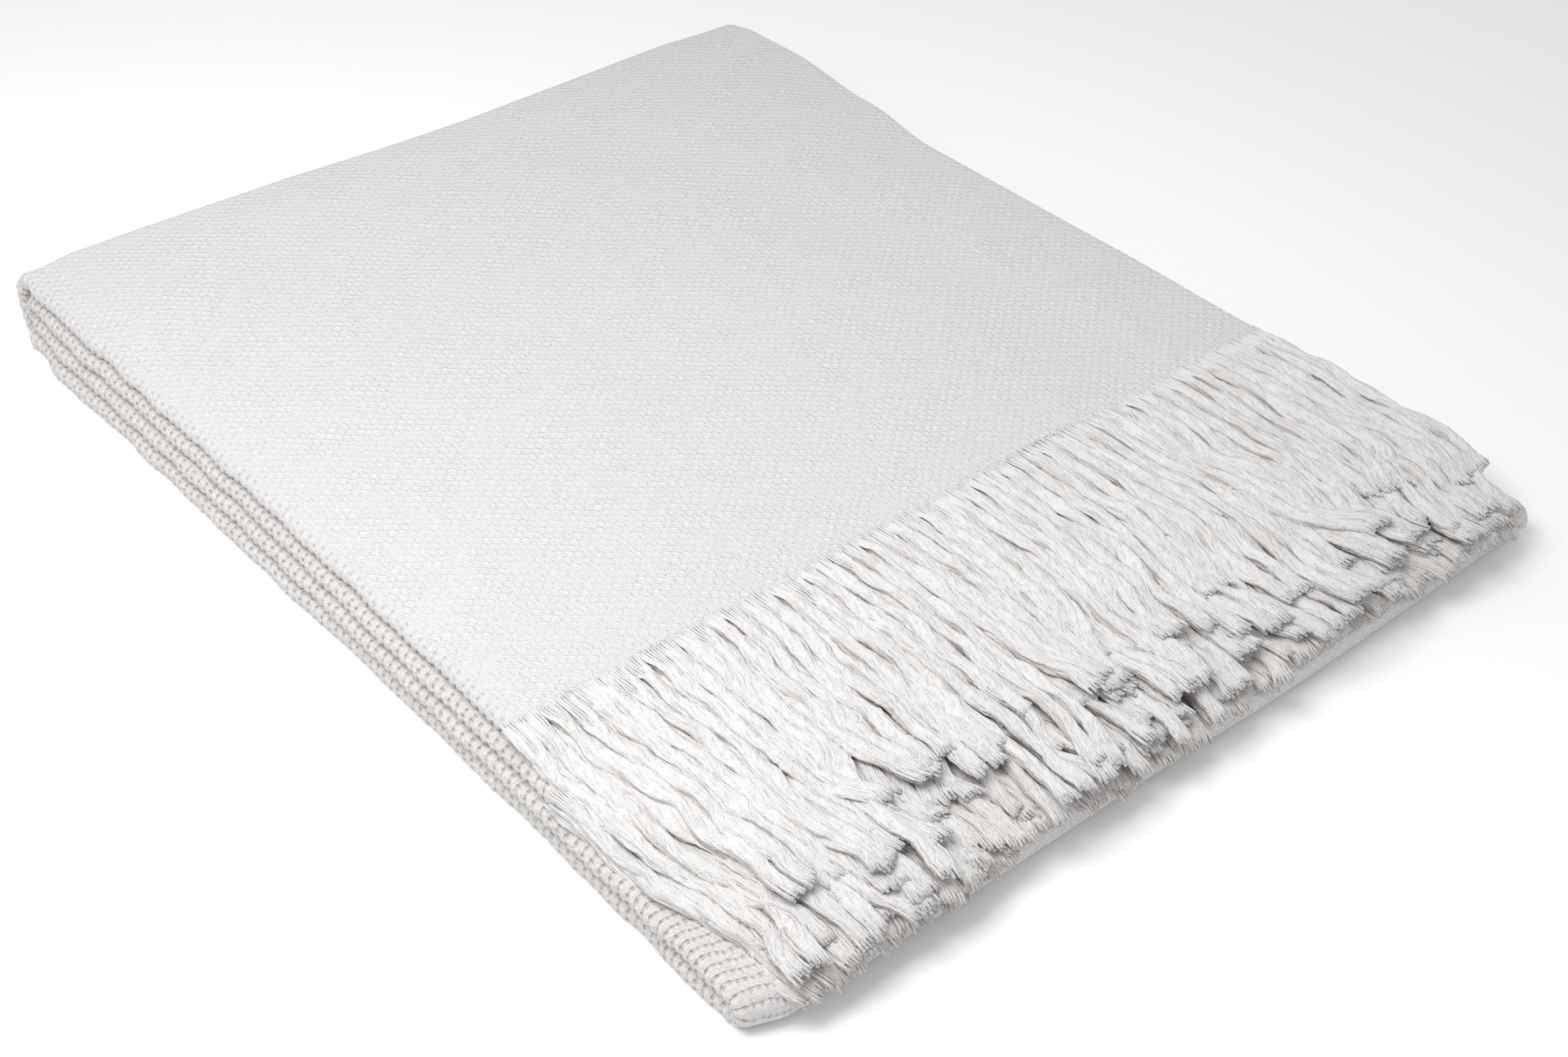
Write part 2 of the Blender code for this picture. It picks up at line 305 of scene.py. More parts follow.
def makeWeaveGroup():
    # Slanting floats on a brick lattice, with a pin hole beside each
    group, start, end = newGroup(
        "slantWeave",
        (("Place", "NodeSocketVector", None), ("Repeat", "NodeSocketVector", None)),
        (("Height", "NodeSocketFloat"), ("Pits", "NodeSocketFloat")))
    place, repeat = start.outputs["Place"], start.outputs["Repeat"]
    sway = addNode(group, "ShaderNodeTexNoise",
                   {"Vector": place, "Scale": 170.0, "Detail": 1.0}).outputs["Color"]
    sway = calcVector(group, "SUBTRACT", sway, (0.5, 0.5, 0.5))
    sway = calcVector(group, "MULTIPLY", sway, clothLook["sway"])
    lattice = calcVector(group, "DIVIDE", calcVector(group, "ADD", place, sway), repeat)

    def spots(shift, turn, size):
        # Soft ellipses on both points of the lattice's cell, 1 in the middle of each
        nearest = None
        for corner in (0.0, 0.5):
            moved = calcVector(group, "ADD", lattice, (shift[0] + corner, shift[1] + corner, 0))
            cell = calcVector(group, "SUBTRACT", calcVector(group, "FRACTION", moved),
                              (0.5, 0.5, 0.0))
            cell = calcVector(group, "MULTIPLY", calcVector(group, "MULTIPLY", cell, repeat),
                              (1.0, 1.0, 0.0))
            turned = addNode(group, "ShaderNodeVectorRotate",
                             {"Vector": cell, "Angle": math.radians(turn)},
                             rotation_type="Z_AXIS").outputs[0]
            scaled = calcVector(group, "DIVIDE", turned, (size[0], size[1], 1.0))
            reach = addNode(group, "ShaderNodeVectorMath", (scaled,),
                            operation="LENGTH").outputs["Value"]
            nearest = reach if nearest is None else calc(group, "MINIMUM", nearest, reach)
        return mapTo(group, nearest, 1.0, 0.15, 0.0, 1.0)

    floats, pits = spots(*clothLook["float"]), spots(*clothLook["pit"])
    height = calc(group, "SUBTRACT", floats, calc(group, "MULTIPLY", pits, 0.35))
    group.links.new(height, end.inputs["Height"])
    group.links.new(pits, end.inputs["Pits"])
    return group


def makeRibGroup():
    # Where a fold opens the weave: round ribs along it, with a row of pin holes between them
    group, start, end = newGroup(
        "foldRibs",
        (("Place", "NodeSocketVector", None), ("Rib", "NodeSocketFloat", 0.0052),
         ("Tooth", "NodeSocketFloat", 0.0024)),
        (("Height", "NodeSocketFloat"), ("Pits", "NodeSocketFloat")))
    place = start.outputs["Place"]
    sway = noiseAt(group, place, 190.0, 1.0)
    parts = addNode(group, "ShaderNodeSeparateXYZ", (place,)).outputs
    rib = calc(group, "DIVIDE", parts[1], start.outputs["Rib"])
    rib = calc(group, "MULTIPLY_ADD", sway, 0.5, calc(group, "SUBTRACT", rib, 0.25))
    number = calc(group, "FLOOR", rib)
    fromCrown = calc(group, "MULTIPLY", calc(group, "PINGPONG", rib, 0.5), 2.0)
    valley = mapTo(group, fromCrown, 0.62, 1.0, 0.0, 1.0)
    tooth = calc(group, "DIVIDE", parts[0], start.outputs["Tooth"])
    tooth = calc(group, "MULTIPLY_ADD", number, 0.43, tooth)
    tooth = calc(group, "MULTIPLY_ADD", sway, 0.9, tooth)
    fromTooth = calc(group, "MULTIPLY", calc(group, "PINGPONG", tooth, 0.5), 2.0)
    holes = calc(group, "MULTIPLY", mapTo(group, fromTooth, 0.45, 0.95, 0.0, 1.0),
                 mapTo(group, fromCrown, 0.60, 0.85, 0.0, 1.0))
    lumps = calc(group, "MULTIPLY", calc(group, "SUBTRACT", 1.0, fromTooth), 0.6)
    height = calc(group, "SUBTRACT", lumps, calc(group, "MULTIPLY", valley, 0.8))
    height = calc(group, "SUBTRACT", height, calc(group, "MULTIPLY", holes, 0.75))
    group.links.new(height, end.inputs["Height"])
    group.links.new(holes, end.inputs["Pits"])
    return group


def makeClothMaterial(weave, ribs, fluff):
    look = clothLook
    material, tree, shader = newMaterial("wovenCotton")
    place = addNode(tree, "ShaderNodeAttribute", attribute_name="weavePlace").outputs["Vector"]
    folded = addNode(tree, "ShaderNodeAttribute", attribute_name="openWeaveAndShade").outputs["Fac"]
    shape = addNode(tree, "ShaderNodeTexCoord").outputs["Object"]
    woven = useGroup(tree, weave, {"Place": place, "Repeat": (*look["repeat"], 1.0)})
    fluffy = useGroup(tree, fluff, {"Place": shape, "Grain": look["grain"]})
    ribbed = useGroup(tree, ribs, {"Place": place, "Rib": look["repeat"][1],
                                   "Tooth": look["tooth"]})
    # The weave is crisp in some places and brushed over in others
    crisp = mapTo(tree, fluffy.outputs["Mottle"], 0.40, 0.62, 0.5, 1.0)
    crisp = calc(tree, "MULTIPLY", crisp, calc(tree, "SUBTRACT", 1.0, folded))
    # Painted shade: the side folds and the uncovered edges below them are coloured darker and
    # warmer
    base = blendColours(tree, folded, look["thread"], look["folded"])
    # Painted highlight: the floats' crowns are coloured lighter where the weave is crisp
    floats = calc(tree, "MULTIPLY", mapTo(tree, woven.outputs["Height"], 0.2, 1.0, 0.0, 1.0),
                  crisp)
    base = blendColours(tree, floats, base, look["floatHighlight"])
    mottled = blendColours(tree, mapTo(tree, fluffy.outputs["Mottle"], 0.3, 0.7, 0.10, 0.0),
                           base, look["shaded"])
    # Painted shade in the weave's pin holes
    pits = calc(tree, "MULTIPLY", calc(tree, "MULTIPLY", woven.outputs["Pits"], crisp),
                look["pitShare"])
    colour = blendColours(tree, pits, mottled, look["shaded"])
    # Painted shade in the pin holes of the opened weave
    holes = calc(tree, "MULTIPLY", ribbed.outputs["Pits"],
                 calc(tree, "MULTIPLY", folded, look["holeShare"]))
    colour = blendColours(tree, holes, colour, look["holeShade"])
    relief = calc(tree, "MULTIPLY", woven.outputs["Height"], crisp)
    relief = calc(tree, "MULTIPLY_ADD", ribbed.outputs["Height"],
                  calc(tree, "MULTIPLY", folded, look["ribRelief"]), relief)
    relief = calc(tree, "MULTIPLY_ADD", fluffy.outputs["Height"], look["fluff"], relief)
    finishMaterial(tree, shader, look, colour, relief, look["bump"])
    return material


def makeYarnMaterial(fluff):
    look = yarnLook
    material, tree, shader = newMaterial("fringeYarn")
    place = addNode(tree, "ShaderNodeAttribute", attribute_name="yarnPlace").outputs["Vector"]
    depth = addNode(tree, "ShaderNodeAttribute", attribute_name="pileShade").outputs["Fac"]
    shape = addNode(tree, "ShaderNodeTexCoord").outputs["Object"]
    fluffy = useGroup(tree, fluff, {"Place": shape, "Grain": look["grain"]})
    parts = addNode(tree, "ShaderNodeSeparateXYZ", (place,)).outputs
    # Fibres lie along each strand in a slow twist: parts are the share round, metres, number
    twisted = calc(tree, "MULTIPLY_ADD", parts[1], look["twist"], parts[0])
    vector = addNode(tree, "ShaderNodeCombineXYZ", (
        calc(tree, "MULTIPLY", twisted, 11.0), calc(tree, "MULTIPLY", parts[1], 170.0),
        calc(tree, "MULTIPLY", parts[2], 3.7))).outputs[0]
    fibres = noiseAt(tree, vector, 1.0, 3.0, 0.65)
    slow = calcVector(tree, "MULTIPLY", vector, (0.3, 0.4, 1.0))
    wobble = noiseAt(tree, slow, 1.0, 1.0, 0.5)
    lane = calc(tree, "MULTIPLY_ADD", twisted, look["threads"],
                calc(tree, "MULTIPLY", wobble, 1.6))
    fromGroove = calc(tree, "MULTIPLY", calc(tree, "PINGPONG", lane, 0.5), 2.0)
    seen = mapTo(tree, fibres, 0.40, 0.58, 1.0, 0.1)
    grooves = calc(tree, "MULTIPLY", mapTo(tree, fromGroove, 0.0, 0.42, 1.0, 0.0), seen)
    tone = addNode(tree, "ShaderNodeTexWhiteNoise", {"W": parts[2]},
                   noise_dimensions="1D").outputs["Value"]
    dulled = calc(tree, "MULTIPLY_ADD", tone, 0.25,
                  mapTo(tree, fibres, 0.36, 0.62, 0.6, 0.0))
    base = blendColours(tree, dulled, look["bright"], look["dull"])
    # Painted shade in the grooves between a strand's threads
    base = blendColours(tree, calc(tree, "MULTIPLY", grooves, look["grooveShare"]), base,
                        look["grooveShade"])
    rooted = mapTo(tree, parts[1], *look["rootFade"], 1.0, 0.0)
    base = blendColours(tree, rooted, base, look["rooted"])
    # Painted shade: darker and warmer down in the pile and on the strands' shaded sides
    colour = blendColours(tree, calc(tree, "MULTIPLY", depth, look["deepShare"]), base,
                          look["deepShade"])
    relief = calc(tree, "MULTIPLY_ADD", fluffy.outputs["Height"], look["fluff"],
                  calc(tree, "MULTIPLY", fibres, look["fibreRelief"]))
    relief = calc(tree, "MULTIPLY_ADD", grooves, look["grooveDepth"], relief)
    strength = calc(tree, "MULTIPLY_ADD", rooted, look["rootBump"], look["bump"])
    finishMaterial(tree, shader, look, colour, relief, strength)
    return material


fluffGroup = makeFluffGroup()
clothMaterial = makeClothMaterial(makeWeaveGroup(), makeRibGroup(), fluffGroup)
yarnMaterial = makeYarnMaterial(fluffGroup)
print("materials ready")


# Cloth

clothPlan = {
    "step": 1.3,                # between sections along the sheet, a quarter of a rib
    "innerEvery": 4,            # the inner face takes every fourth of them
    "farTurnSteps": 30,
    "smallTurnSteps": 18,
    "sideTurnSteps": 12,
    "innerTurnSteps": 4,
    "topShares": (0.013, 0.018, 0.024, 0.031, 0.040, 0.052, 0.068, 0.09, 0.12, 0.16, 0.21, 0.27,
                  0.34, 0.42, 0.50, 0.58, 0.66, 0.74, 0.82, 0.90, 0.96, 0.985),
    "hiddenShares": (0.02, 0.05, 0.35, 0.70, 0.96),
    "selvedge": ((-1.3, 1.0), (-0.4, 0.8), (0.0, 0.4)),     # from the edge, share of thickness
    "endTaper": 7.0,            # the sheet thins over this much before its fringed edge
    "endThickness": 0.16,
    "loft": 1.5,                # the top ply stands off the one under it by up to this
    "loftStart": (4.0, 17.0),   # flat beside the side fold, then rising over this much
    "loftFades": (30.0, 20.0),  # towards the fringed edge and the far fold
    "loftLengths": (45.0, 160.0),
    "ridgeWander": 0.45,        # the side folds wander in and out
    "ridgeLengths": (22.0, 80.0),
    "ridgeReach": 26.0,
    "rib": 0.54,                # the weave's ribs on the side folds
    "ribReach": (8.0, 40.0),    # how far in from the side they show, on top and lower down
    "cornerReach": (34.0, 10.0),        # and round the near fold, with the fade after it
    "ribFade": 8.0,             # they fade over this much at a covering edge
    "ribShares": (0.3, 0.75),   # how open the weave is there, on top and lower down
    "repeat": 5.2,              # from rib to rib
    "ribLengths": (5.0, 16.0),  # their unevenness
    "edgeWander": 2.3,          # of the fringed edges
    "edgeLengths": (4.0, 18.0),
    "edgeReach": 6.0,
    "farRumple": 0.5,           # small unevenness of the far fold
    "rumpleLengths": (14.0, 45.0),
    "rumpleReach": 12.0,
}


def turnAngles(steps, start, end):
    return [math.radians(start + (end - start) * i / steps) for i in range(steps + 1)]


def clothSection():
    # Middle line of the three plies, from the free selvedge to the tucked one: rows of
    # share of the width, distance past it, height, outward x and z, share of the thickness
    plan = stackPlan
    pitch, ply = plan["plyPitch"], plan["plyThickness"]
    sideMiddle = pitch + ply / 2
    turnRadius = pitch / 2
    turnMiddle = -(turnRadius + ply / 2 + plan["innerFoldInset"])
    rows = [(1.0, past, pitch, 0.0, 1.0, thick) for past, thick in reversed(clothPlan["selvedge"])]
    rows += [(share, 0.0, pitch, 0.0, 1.0, 1.0) for share in reversed(clothPlan["topShares"])]
    for a in turnAngles(clothPlan["sideTurnSteps"], 90, 270):
        rows.append((0.0, sideMiddle + pitch * math.cos(a), pitch * math.sin(a),
                     math.cos(a), math.sin(a), 1.0))
    rows += [(share, 0.0, -pitch, 0.0, -1.0, 1.0) for share in clothPlan["hiddenShares"]]
    for a in turnAngles(clothPlan["innerTurnSteps"], -90, 90):
        rows.append((1.0, turnMiddle + turnRadius * math.cos(a),
                     turnRadius * (math.sin(a) - 1), math.cos(a), math.sin(a), 1.0))
    rows += [(share, 0.0, 0.0, 0.0, 1.0, 1.0) for share in reversed(clothPlan["hiddenShares"])]
    rows.append((0.0, plan["tuckedSelvedge"], 0.0, 0.0, 1.0, 0.7))
    return np.array(rows)


def clothPath():
    # Sections along the sheet from one fringed edge to the other: rows of
    # y, z, normal y, normal z, left edge, right edge, layer
    plan = stackPlan
    rows = []

    def straight(layer, first, last, up):
        count = max(2, round(abs(last - first) / clothPlan["step"]))
        for along in np.linspace(first, last, count + 1):
            left, right = layerEdges(layer, along)
            rows.append((along, layerHeight(layer), 0.0, up, left, right, layer))

    def turn(leaving, arriving, along, steps, start, end, out):
        middle = (layerHeight(leaving) + layerHeight(arriving)) / 2
        radius = abs(layerHeight(leaving) - layerHeight(arriving)) / 2
        before, after = layerEdges(leaving, along), layerEdges(arriving, along)
        for i, a in enumerate(turnAngles(steps, start, end)[1:-1], 1):
            left, right = (b + (c - b) * i / steps for b, c in zip(before, after))
            rows.append((along + radius * math.cos(a), middle + radius * math.sin(a),
                         out * math.cos(a), out * math.sin(a), left, right,
                         leaving + (arriving - leaving) * i / steps))

    straight(3, plan["upperEdge"], plan["outerFarFold"], 1.0)
    turn(3, 0, plan["outerFarFold"], clothPlan["farTurnSteps"], 90, -90, 1.0)
    straight(0, plan["outerFarFold"], plan["nearFold"], -1.0)
    turn(0, 1, plan["nearFold"], clothPlan["smallTurnSteps"], -90, -270, 1.0)
    straight(1, plan["nearFold"], plan["innerFarFold"], 1.0)
    turn(1, 2, plan["innerFarFold"], clothPlan["smallTurnSteps"], -90, 90, -1.0)
    straight(2, plan["innerFarFold"], plan["lowerEdge"], -1.0)
    return np.array(rows)


def distanceRun(first, second):
    steps = np.hypot(np.diff(first), np.diff(second))
    return np.concatenate(([0.0], np.cumsum(steps)))


def layGrid(section, path):
    # Values for all points of the sheet: the section's as rows, the path's as columns
    grid = SimpleNamespace()
    grid.share, grid.past, grid.height, grid.outX, grid.outZ, grid.thick = section.T
    (grid.y, grid.z, grid.normalY, grid.normalZ, grid.left, grid.right,
     grid.layer) = (column[:, None] for column in path.T)
    # Distances on the flat sheet: across it, along it, and to its nearer fringed edge
    width = float(grid.right.mean() - grid.left.mean())
    grid.flatX = grid.share * width + grid.past
    grid.across = distanceRun(grid.flatX, grid.height)
    grid.along = distanceRun(path[:, 0], path[:, 1])[:, None]
    grid.total = grid.along[-1, 0]
    grid.toEnd = np.minimum(grid.along, grid.total - grid.along)
    grid.evenly = np.arange(len(path))[:, None] * clothPlan["step"]
    grid.outside = grid.height > 0
    grid.uppermost = grid.layer > topLayer - 0.5
    return grid


def openedWeave(grid):
    # Where the weave opens, which the material also paints with shade: on the round side folds,
    # and further in where no layer covers it
    nearFold, lowerEdge, upperEdge = (
        stackPlan[name] for name in ("nearFold", "lowerEdge", "upperEdge"))
    onTop, lower = clothPlan["ribReach"]
    topShare, lowerShare = clothPlan["ribShares"]
    corner, cornerFade = clothPlan["cornerReach"]
    fade = clothPlan["ribFade"]
    second, third = (np.abs(grid.layer - number) < 0.4 for number in (1, 2))
    bare = ease((lowerEdge - grid.y) / fade) * second
    bare = bare + ((grid.y < nearFold) * (grid.layer < 0.61)
                   * ease((corner - grid.flatX) / cornerFade))
    bare = bare + ease((upperEdge - grid.y) / fade) * ease((grid.y - lowerEdge) / fade) * third
    bare = bare * ease(1.2 - grid.flatX / lower) * grid.outside
    bare = lowerShare * bare + (topShare * ease(1.2 - grid.flatX / onTop)
                                * grid.uppermost * grid.outside)
    onFold = ease((0.15 - grid.outX) / 0.4) * (1 - 0.5 * (grid.outZ > 0) * grid.uppermost)
    opened = np.clip(np.maximum(bare, onFold), 0, 1)
    return opened * ease(grid.toEnd / fade) * (np.abs(grid.height) > 0.05), bare


def topLoft(grid):
    # The top ply stands off the one under it, but for its edges
    plan = clothPlan
    start, rise = plan["loftStart"]
    endFade, farFade = plan["loftFades"]
    lift = ripples(grid.flatX, grid.along, *plan["loftLengths"], 12, 8)
    lift = plan["loft"] * (0.55 + 0.45 * np.clip(lift, -1, 1)) * (grid.layer == topLayer)
    lift = lift * grid.outside * ease((grid.flatX - start) / rise) * ease(grid.toEnd / endFade)
    lift = lift * ease((stackPlan["outerFarFold"] - grid.y) / farFade)
    return lift * ease((1 - grid.share) * 14)


def foldRelief(grid, opened, bare):
    # The ribs stand out where the weave is open, each of its own height
    plan = clothPlan
    crown = np.cos(math.tau * grid.evenly / plan["repeat"])
    ribs = 1 - 2 * ((1 - crown) / 2) ** 1.7
    swell = ripples(grid.across, grid.along, *plan["ribLengths"], 9, 31)
    ribs = plan["rib"] * (ribs * (1 + 0.3 * swell) + 0.2 * swell)
    return ribs * opened * np.maximum(0.8 * bare, np.abs(grid.outX) ** 0.7)


def settle(x, y, z):
    # The evenly folded stack takes its uneven place
    plan = stackPlan
    left, right = layerEdges(0, y)
    across = (x - left) / (right - left)
    far = ease((y - plan["outerFarFold"] + plan["farReach"]) / plan["farReach"])
    near = ease((plan["nearReach"] - y) / plan["nearReach"]) * (z < 2 * plan["layerPitch"])
    shift = easedColumn(plan["farWander"], across) * far
    shift = shift + easedColumn(plan["nearWander"], across) * near
    reach = clothPlan["rumpleReach"]
    rumpled = ripples(x, z, *clothPlan["rumpleLengths"], 8, 91) * clothPlan["farRumple"]
    shift = shift + rumpled * ease((y - plan["outerFarFold"] + reach) / reach)
    wave = np.sin(math.tau * x / plan["swellLengths"][0])
    wave = wave * np.sin(math.tau * y / plan["swellLengths"][1])
    rise = 1 + plan["swell"] * wave * ease((y - plan["upperEdge"]) / plan["farReach"])
    return x, y + shift, z * rise


def foldSheet(grid, opened, bare):
    # Points of the sheet's outer and inner face
    plan = clothPlan
    taper = ease(grid.toEnd / plan["endTaper"])
    taper = plan["endThickness"] + (1 - plan["endThickness"]) * taper
    half = stackPlan["plyThickness"] / 2 * grid.thick * taper
    ribs, lift = foldRelief(grid, opened, bare), topLoft(grid)
    wander = ripples(grid.along + 40 * grid.layer, grid.layer * 30.0,
                     *plan["ridgeLengths"], 7, 3)
    wander = wander * plan["ridgeWander"] * ease(1 - grid.flatX / plan["ridgeReach"])
    ragged = ripples(grid.flatX, grid.layer * 50, *plan["edgeLengths"], 9, 77)
    ragged = ragged * plan["edgeWander"] * (1 - ease(grid.toEnd / plan["edgeReach"]))
    sides = []
    for offset in (half + ribs, -half):
        x = grid.left + (grid.right - grid.left) * grid.share + grid.past
        x = x + grid.outX * offset + wander
        rise = grid.height + grid.outZ * offset + lift
        y = grid.y + rise * grid.normalY + ragged
        z = grid.z + rise * grid.normalZ
        sides.append(np.stack(settle(x, y, np.maximum(z, 0.0)), -1))
    return sides


def innerPoints(grid):
    # The inner face is coarser: it takes only these of the outer one's sections and points
    section, point = np.arange(len(grid.along)), np.arange(len(grid.share))
    turning = np.abs(grid.normalZ[:, 0]) < 0.999
    sections = turning | (section % clothPlan["innerEvery"] == 0) | (section == section[-1])
    bends = np.abs(grid.outX) > 1e-6
    beside = np.roll(bends, 1) | np.roll(bends, -1)
    edge = (point < 3) | (point > len(point) - 3)
    onBend = bends & (np.cumsum(bends) % 2 == 1)
    onFlat = ~bends & (beside | (np.cumsum(~bends) % 2 == 0))
    return np.flatnonzero(sections), np.flatnonzero(edge | onBend | onFlat)


def gridQuads(number):
    corners = (number[:-1, :-1], number[1:, :-1], number[1:, 1:], number[:-1, 1:])
    return np.stack(corners, -1).reshape(-1, 4)


def sheetFaces(places, count, near, kept):
    # The outer face, the inner one, and the rim that joins them at all four edges
    outer = np.arange(places * count).reshape(places, count)
    inner = outer.size + np.arange(len(near) * len(kept)).reshape(len(near), len(kept))
    faces = gridQuads(outer).tolist() + gridQuads(inner)[:, [0, 3, 2, 1]].tolist()
    rims = ((outer[0], inner[0], kept),
            (outer[:, -1], inner[:, -1], near),
            (outer[-1, ::-1], inner[-1, ::-1], count - 1 - kept[::-1]),
            (outer[::-1, 0], inner[::-1, 0], places - 1 - near[::-1]))
    for line, innerLine, stops in rims:
        for i, (first, last) in enumerate(zip(stops, stops[1:])):
            rim = line[first:last + 1].tolist()
            faces.append(rim + [int(innerLine[i + 1]), int(innerLine[i])])
    return faces


def makeCloth():
    grid = layGrid(clothSection(), clothPath())
    opened, bare = openedWeave(grid)
    outer, inner = foldSheet(grid, opened, bare)
    near, kept = innerPoints(grid)
    faces = sheetFaces(*outer.shape[:2], near, kept)
    points = np.concatenate((outer.reshape(-1, 3), inner[np.ix_(near, kept)].reshape(-1, 3)))

    def both(values):
        # Values of the outer face's points, then of the inner one's
        values = np.broadcast_to(values, outer.shape[:2])
        return np.concatenate((values.reshape(-1), values[np.ix_(near, kept)].reshape(-1)))

    place = np.stack((both(-grid.across * mm), both(grid.evenly * mm), both(0.0)), -1)
    fields = {"weavePlace": place, "openWeaveAndShade": both(opened)}
    cloth = makeObject("throwCloth", points, faces, fields, clothMaterial)
    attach(cloth, "root")
    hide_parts("blanket_cloth")
    cut = (grid.across[-1] * mm, grid.total * mm)
    print("cloth:", len(faces), "faces, cut", round(cut[0], 3), "by", round(cut[1], 3), "m")
    return cloth, cut


throwCloth, clothCut = makeCloth()


# Fringe

# Height on which both fringes lie
pileBase = 2 * stackPlan["layerPitch"]

fringePlan = {
    "count": 54,                # strands in a row, two to a tassel
    "margin": 2.2,              # from the cloth's sides to the middles of the outermost strands
    "inside": 3.0,              # the strands start this far inside the cloth
    # Half width and half depth of a strand at the cloth, in the pile and at the cut end
    "rootSize": (4.0, 0.48),
    "bodySize": (3.48, 1.98),
    "tipSize": (4.1, 1.45),
    "gather": 13.0,             # strands take their full shape over this much
    "tipLength": 20.0,
    "unevenness": 0.17,
    "lobes": (5, 0.15),         # ridges round a strand and their height as a share
    "lobeTurn": 55.0,           # length of one whole twist
    "boxy": 0.72,               # below 1 the strands are flatter on top with steeper sides
    "crinkle": (0.32, 0.18, 0.07),      # sideways, up and share of the width, at each section
    "roll": 0.28,
    "halfGap": (3.85, 3.55, 3.5),       # between a tassel's strands: root, pile and cut end
    "joined": 0.75,             # share of the tassels whose strands end together
    "shortened": 16.0,          # some tassels end this far short of the others
    "drawnBack": (8.0, 22.0),   # and some this much, in the rows that show
    "sideDroop": (0.55, 26.0, 40.0),    # the pile sinks at the left: share, reach, run it takes
    "wander": (1.0, 0.75),      # sideways and up, each tassel on its own
    "wanderStart": (12.0, 40.0),        # straight over the first, full the second further on
    "part": 0.7,                # and its strands apart, as a share of that
    "sway": 3.0,                # neighbours drift together
    "swayStart": (4.0, 60.0),   # as for wander
    "swayLengths": (60.0, 190.0),
    "curl": 10.0,               # the ends turn to either side
    "curlLength": 42.0,
    "stray": 1.8,
    "sink": (-1.5, 3.5),
    "lean": 2.5,
    "leanLength": 140.0,
    "reach": 90.0,              # the outer strands lean over this much of the width
    "leanLeft": 20.0,
    "pileFull": 107.0,
    "pileThinned": 0.73,
    "overhang": -3.0,
    "lowest": 3.0,
    "bendLength": 11.0,         # over the near fold
    "bare": 2.6,                # the threads stand alone over this much
    "narrowFrom": (15.0, 9.0),  # the solid strand draws in this far from the tip, over so much
    "narrowed": (0.08, 0.28),   # and loses these shares of its width and depth
    "threads": (6, 4),          # in the two courses of the cut end
    "threadRadius": 0.84,
    "rootThreads": 6,
    "rootRadius": 0.56,
    "rootStagger": 1.7,         # the root's threads start this unevenly
    "hiddenStops": 7,           # sections of the stretch that other rows cover
    "outerStops": 56,           # least sections of the outermost strands
    "shadeDepth": 38.0,         # the painted shade is darkest this far down
    "litSide": (0.2, 26.0),     # the painted shade is less dark at the lit left side: share and reach
    "neighbourShade": 0.9,      # on the sides and undersides of the inner strands
}

# Waves in a strand: shortest, longest and share of each
strandWaves = {
    "tasselSideways": ((24, 40, 0.4), (55, 110, 0.9)),
    "tasselUp": ((28, 60, 0.7), (60, 120, 0.6)),
    "sideways": ((13, 20, 0.2), (24, 40, 0.6), (50, 90, 0.6)),
    "up": ((12, 20, 0.35), (30, 60, 1.0)),
    "girth": ((18, 30, 0.6), (35, 70, 0.7)),
    "roll": ((40, 90, 1.0),),
}

# The layer that each fringe ends, how it lies (-1 is upside down) and its edge along Y
fringedEnds = {
    "fringe_upper": {"layer": topLayer, "up": 1, "edge": stackPlan["upperEdge"]},
    "fringe_lower": {"layer": 2, "up": -1, "edge": stackPlan["lowerEdge"]},
}

# Each row comes out of one ply: 1 is the outer one, 0 the middle one, -1 the inner one.
# shift is in pitches, tips along Y, bendAt and bends where and how far it turns down over
# the near fold, detail where a covered row starts to show, short and drawnBack shares of tassels
fringeRows = {
    "fringeTop": {
        "node": "fringe_upper", "ply": 1, "shift": 0.0,
        "tips": (-10.0, 34.0), "bendAt": -4.0, "bends": (0, 25), "sides": 22, "stops": 60,
        "detail": None, "rise": 0.5, "short": 0.0, "drawnBack": 0.15, "leanRight": 8.0},
    "fringeSecond": {
        "node": "fringe_upper", "ply": 0, "shift": 0.45,
        "tips": (-11.0, 20.0), "bendAt": -4.0, "bends": (5, 35), "sides": 18, "stops": 56,
        "detail": None, "rise": 1.6, "short": 0.15, "drawnBack": 0.15, "leanRight": -3.0},
    "fringeThird": {
        "node": "fringe_upper", "ply": -1, "shift": 0.2,
        "tips": (-12.0, 8.0), "bendAt": -3.0, "bends": (10, 40), "sides": 16, "stops": 30,
        "detail": 50.0, "rise": 1.6, "short": 0.22, "drawnBack": 0.0, "leanRight": -3.0},
    "fringeFourth": {
        "node": "fringe_lower", "ply": -1, "shift": 0.1,
        "tips": (-12.5, 0.0), "bendAt": -2.0, "bends": (15, 45), "sides": 16, "stops": 30,
        "detail": 44.0, "rise": 0.6, "short": 0.22, "drawnBack": 0.0, "leanRight": -3.0},
    "fringeFifth": {
        "node": "fringe_lower", "ply": 0, "shift": 0.5,
        "tips": (-12.5, -4.0), "bendAt": -1.0, "bends": (25, 50), "sides": 16, "stops": 30,
        "detail": 40.0, "rise": 0.4, "short": 0.30, "drawnBack": 0.0, "leanRight": -3.0},
    "fringeBottom": {
        "node": "fringe_lower", "ply": 1, "shift": 0.0,
        "tips": (-12.0, -6.0), "bendAt": -1.0, "bends": (30, 55), "sides": 16, "stops": 30,
        "detail": 38.0, "rise": 0.3, "short": 0.45, "drawnBack": 0.0, "leanRight": -3.0},
}

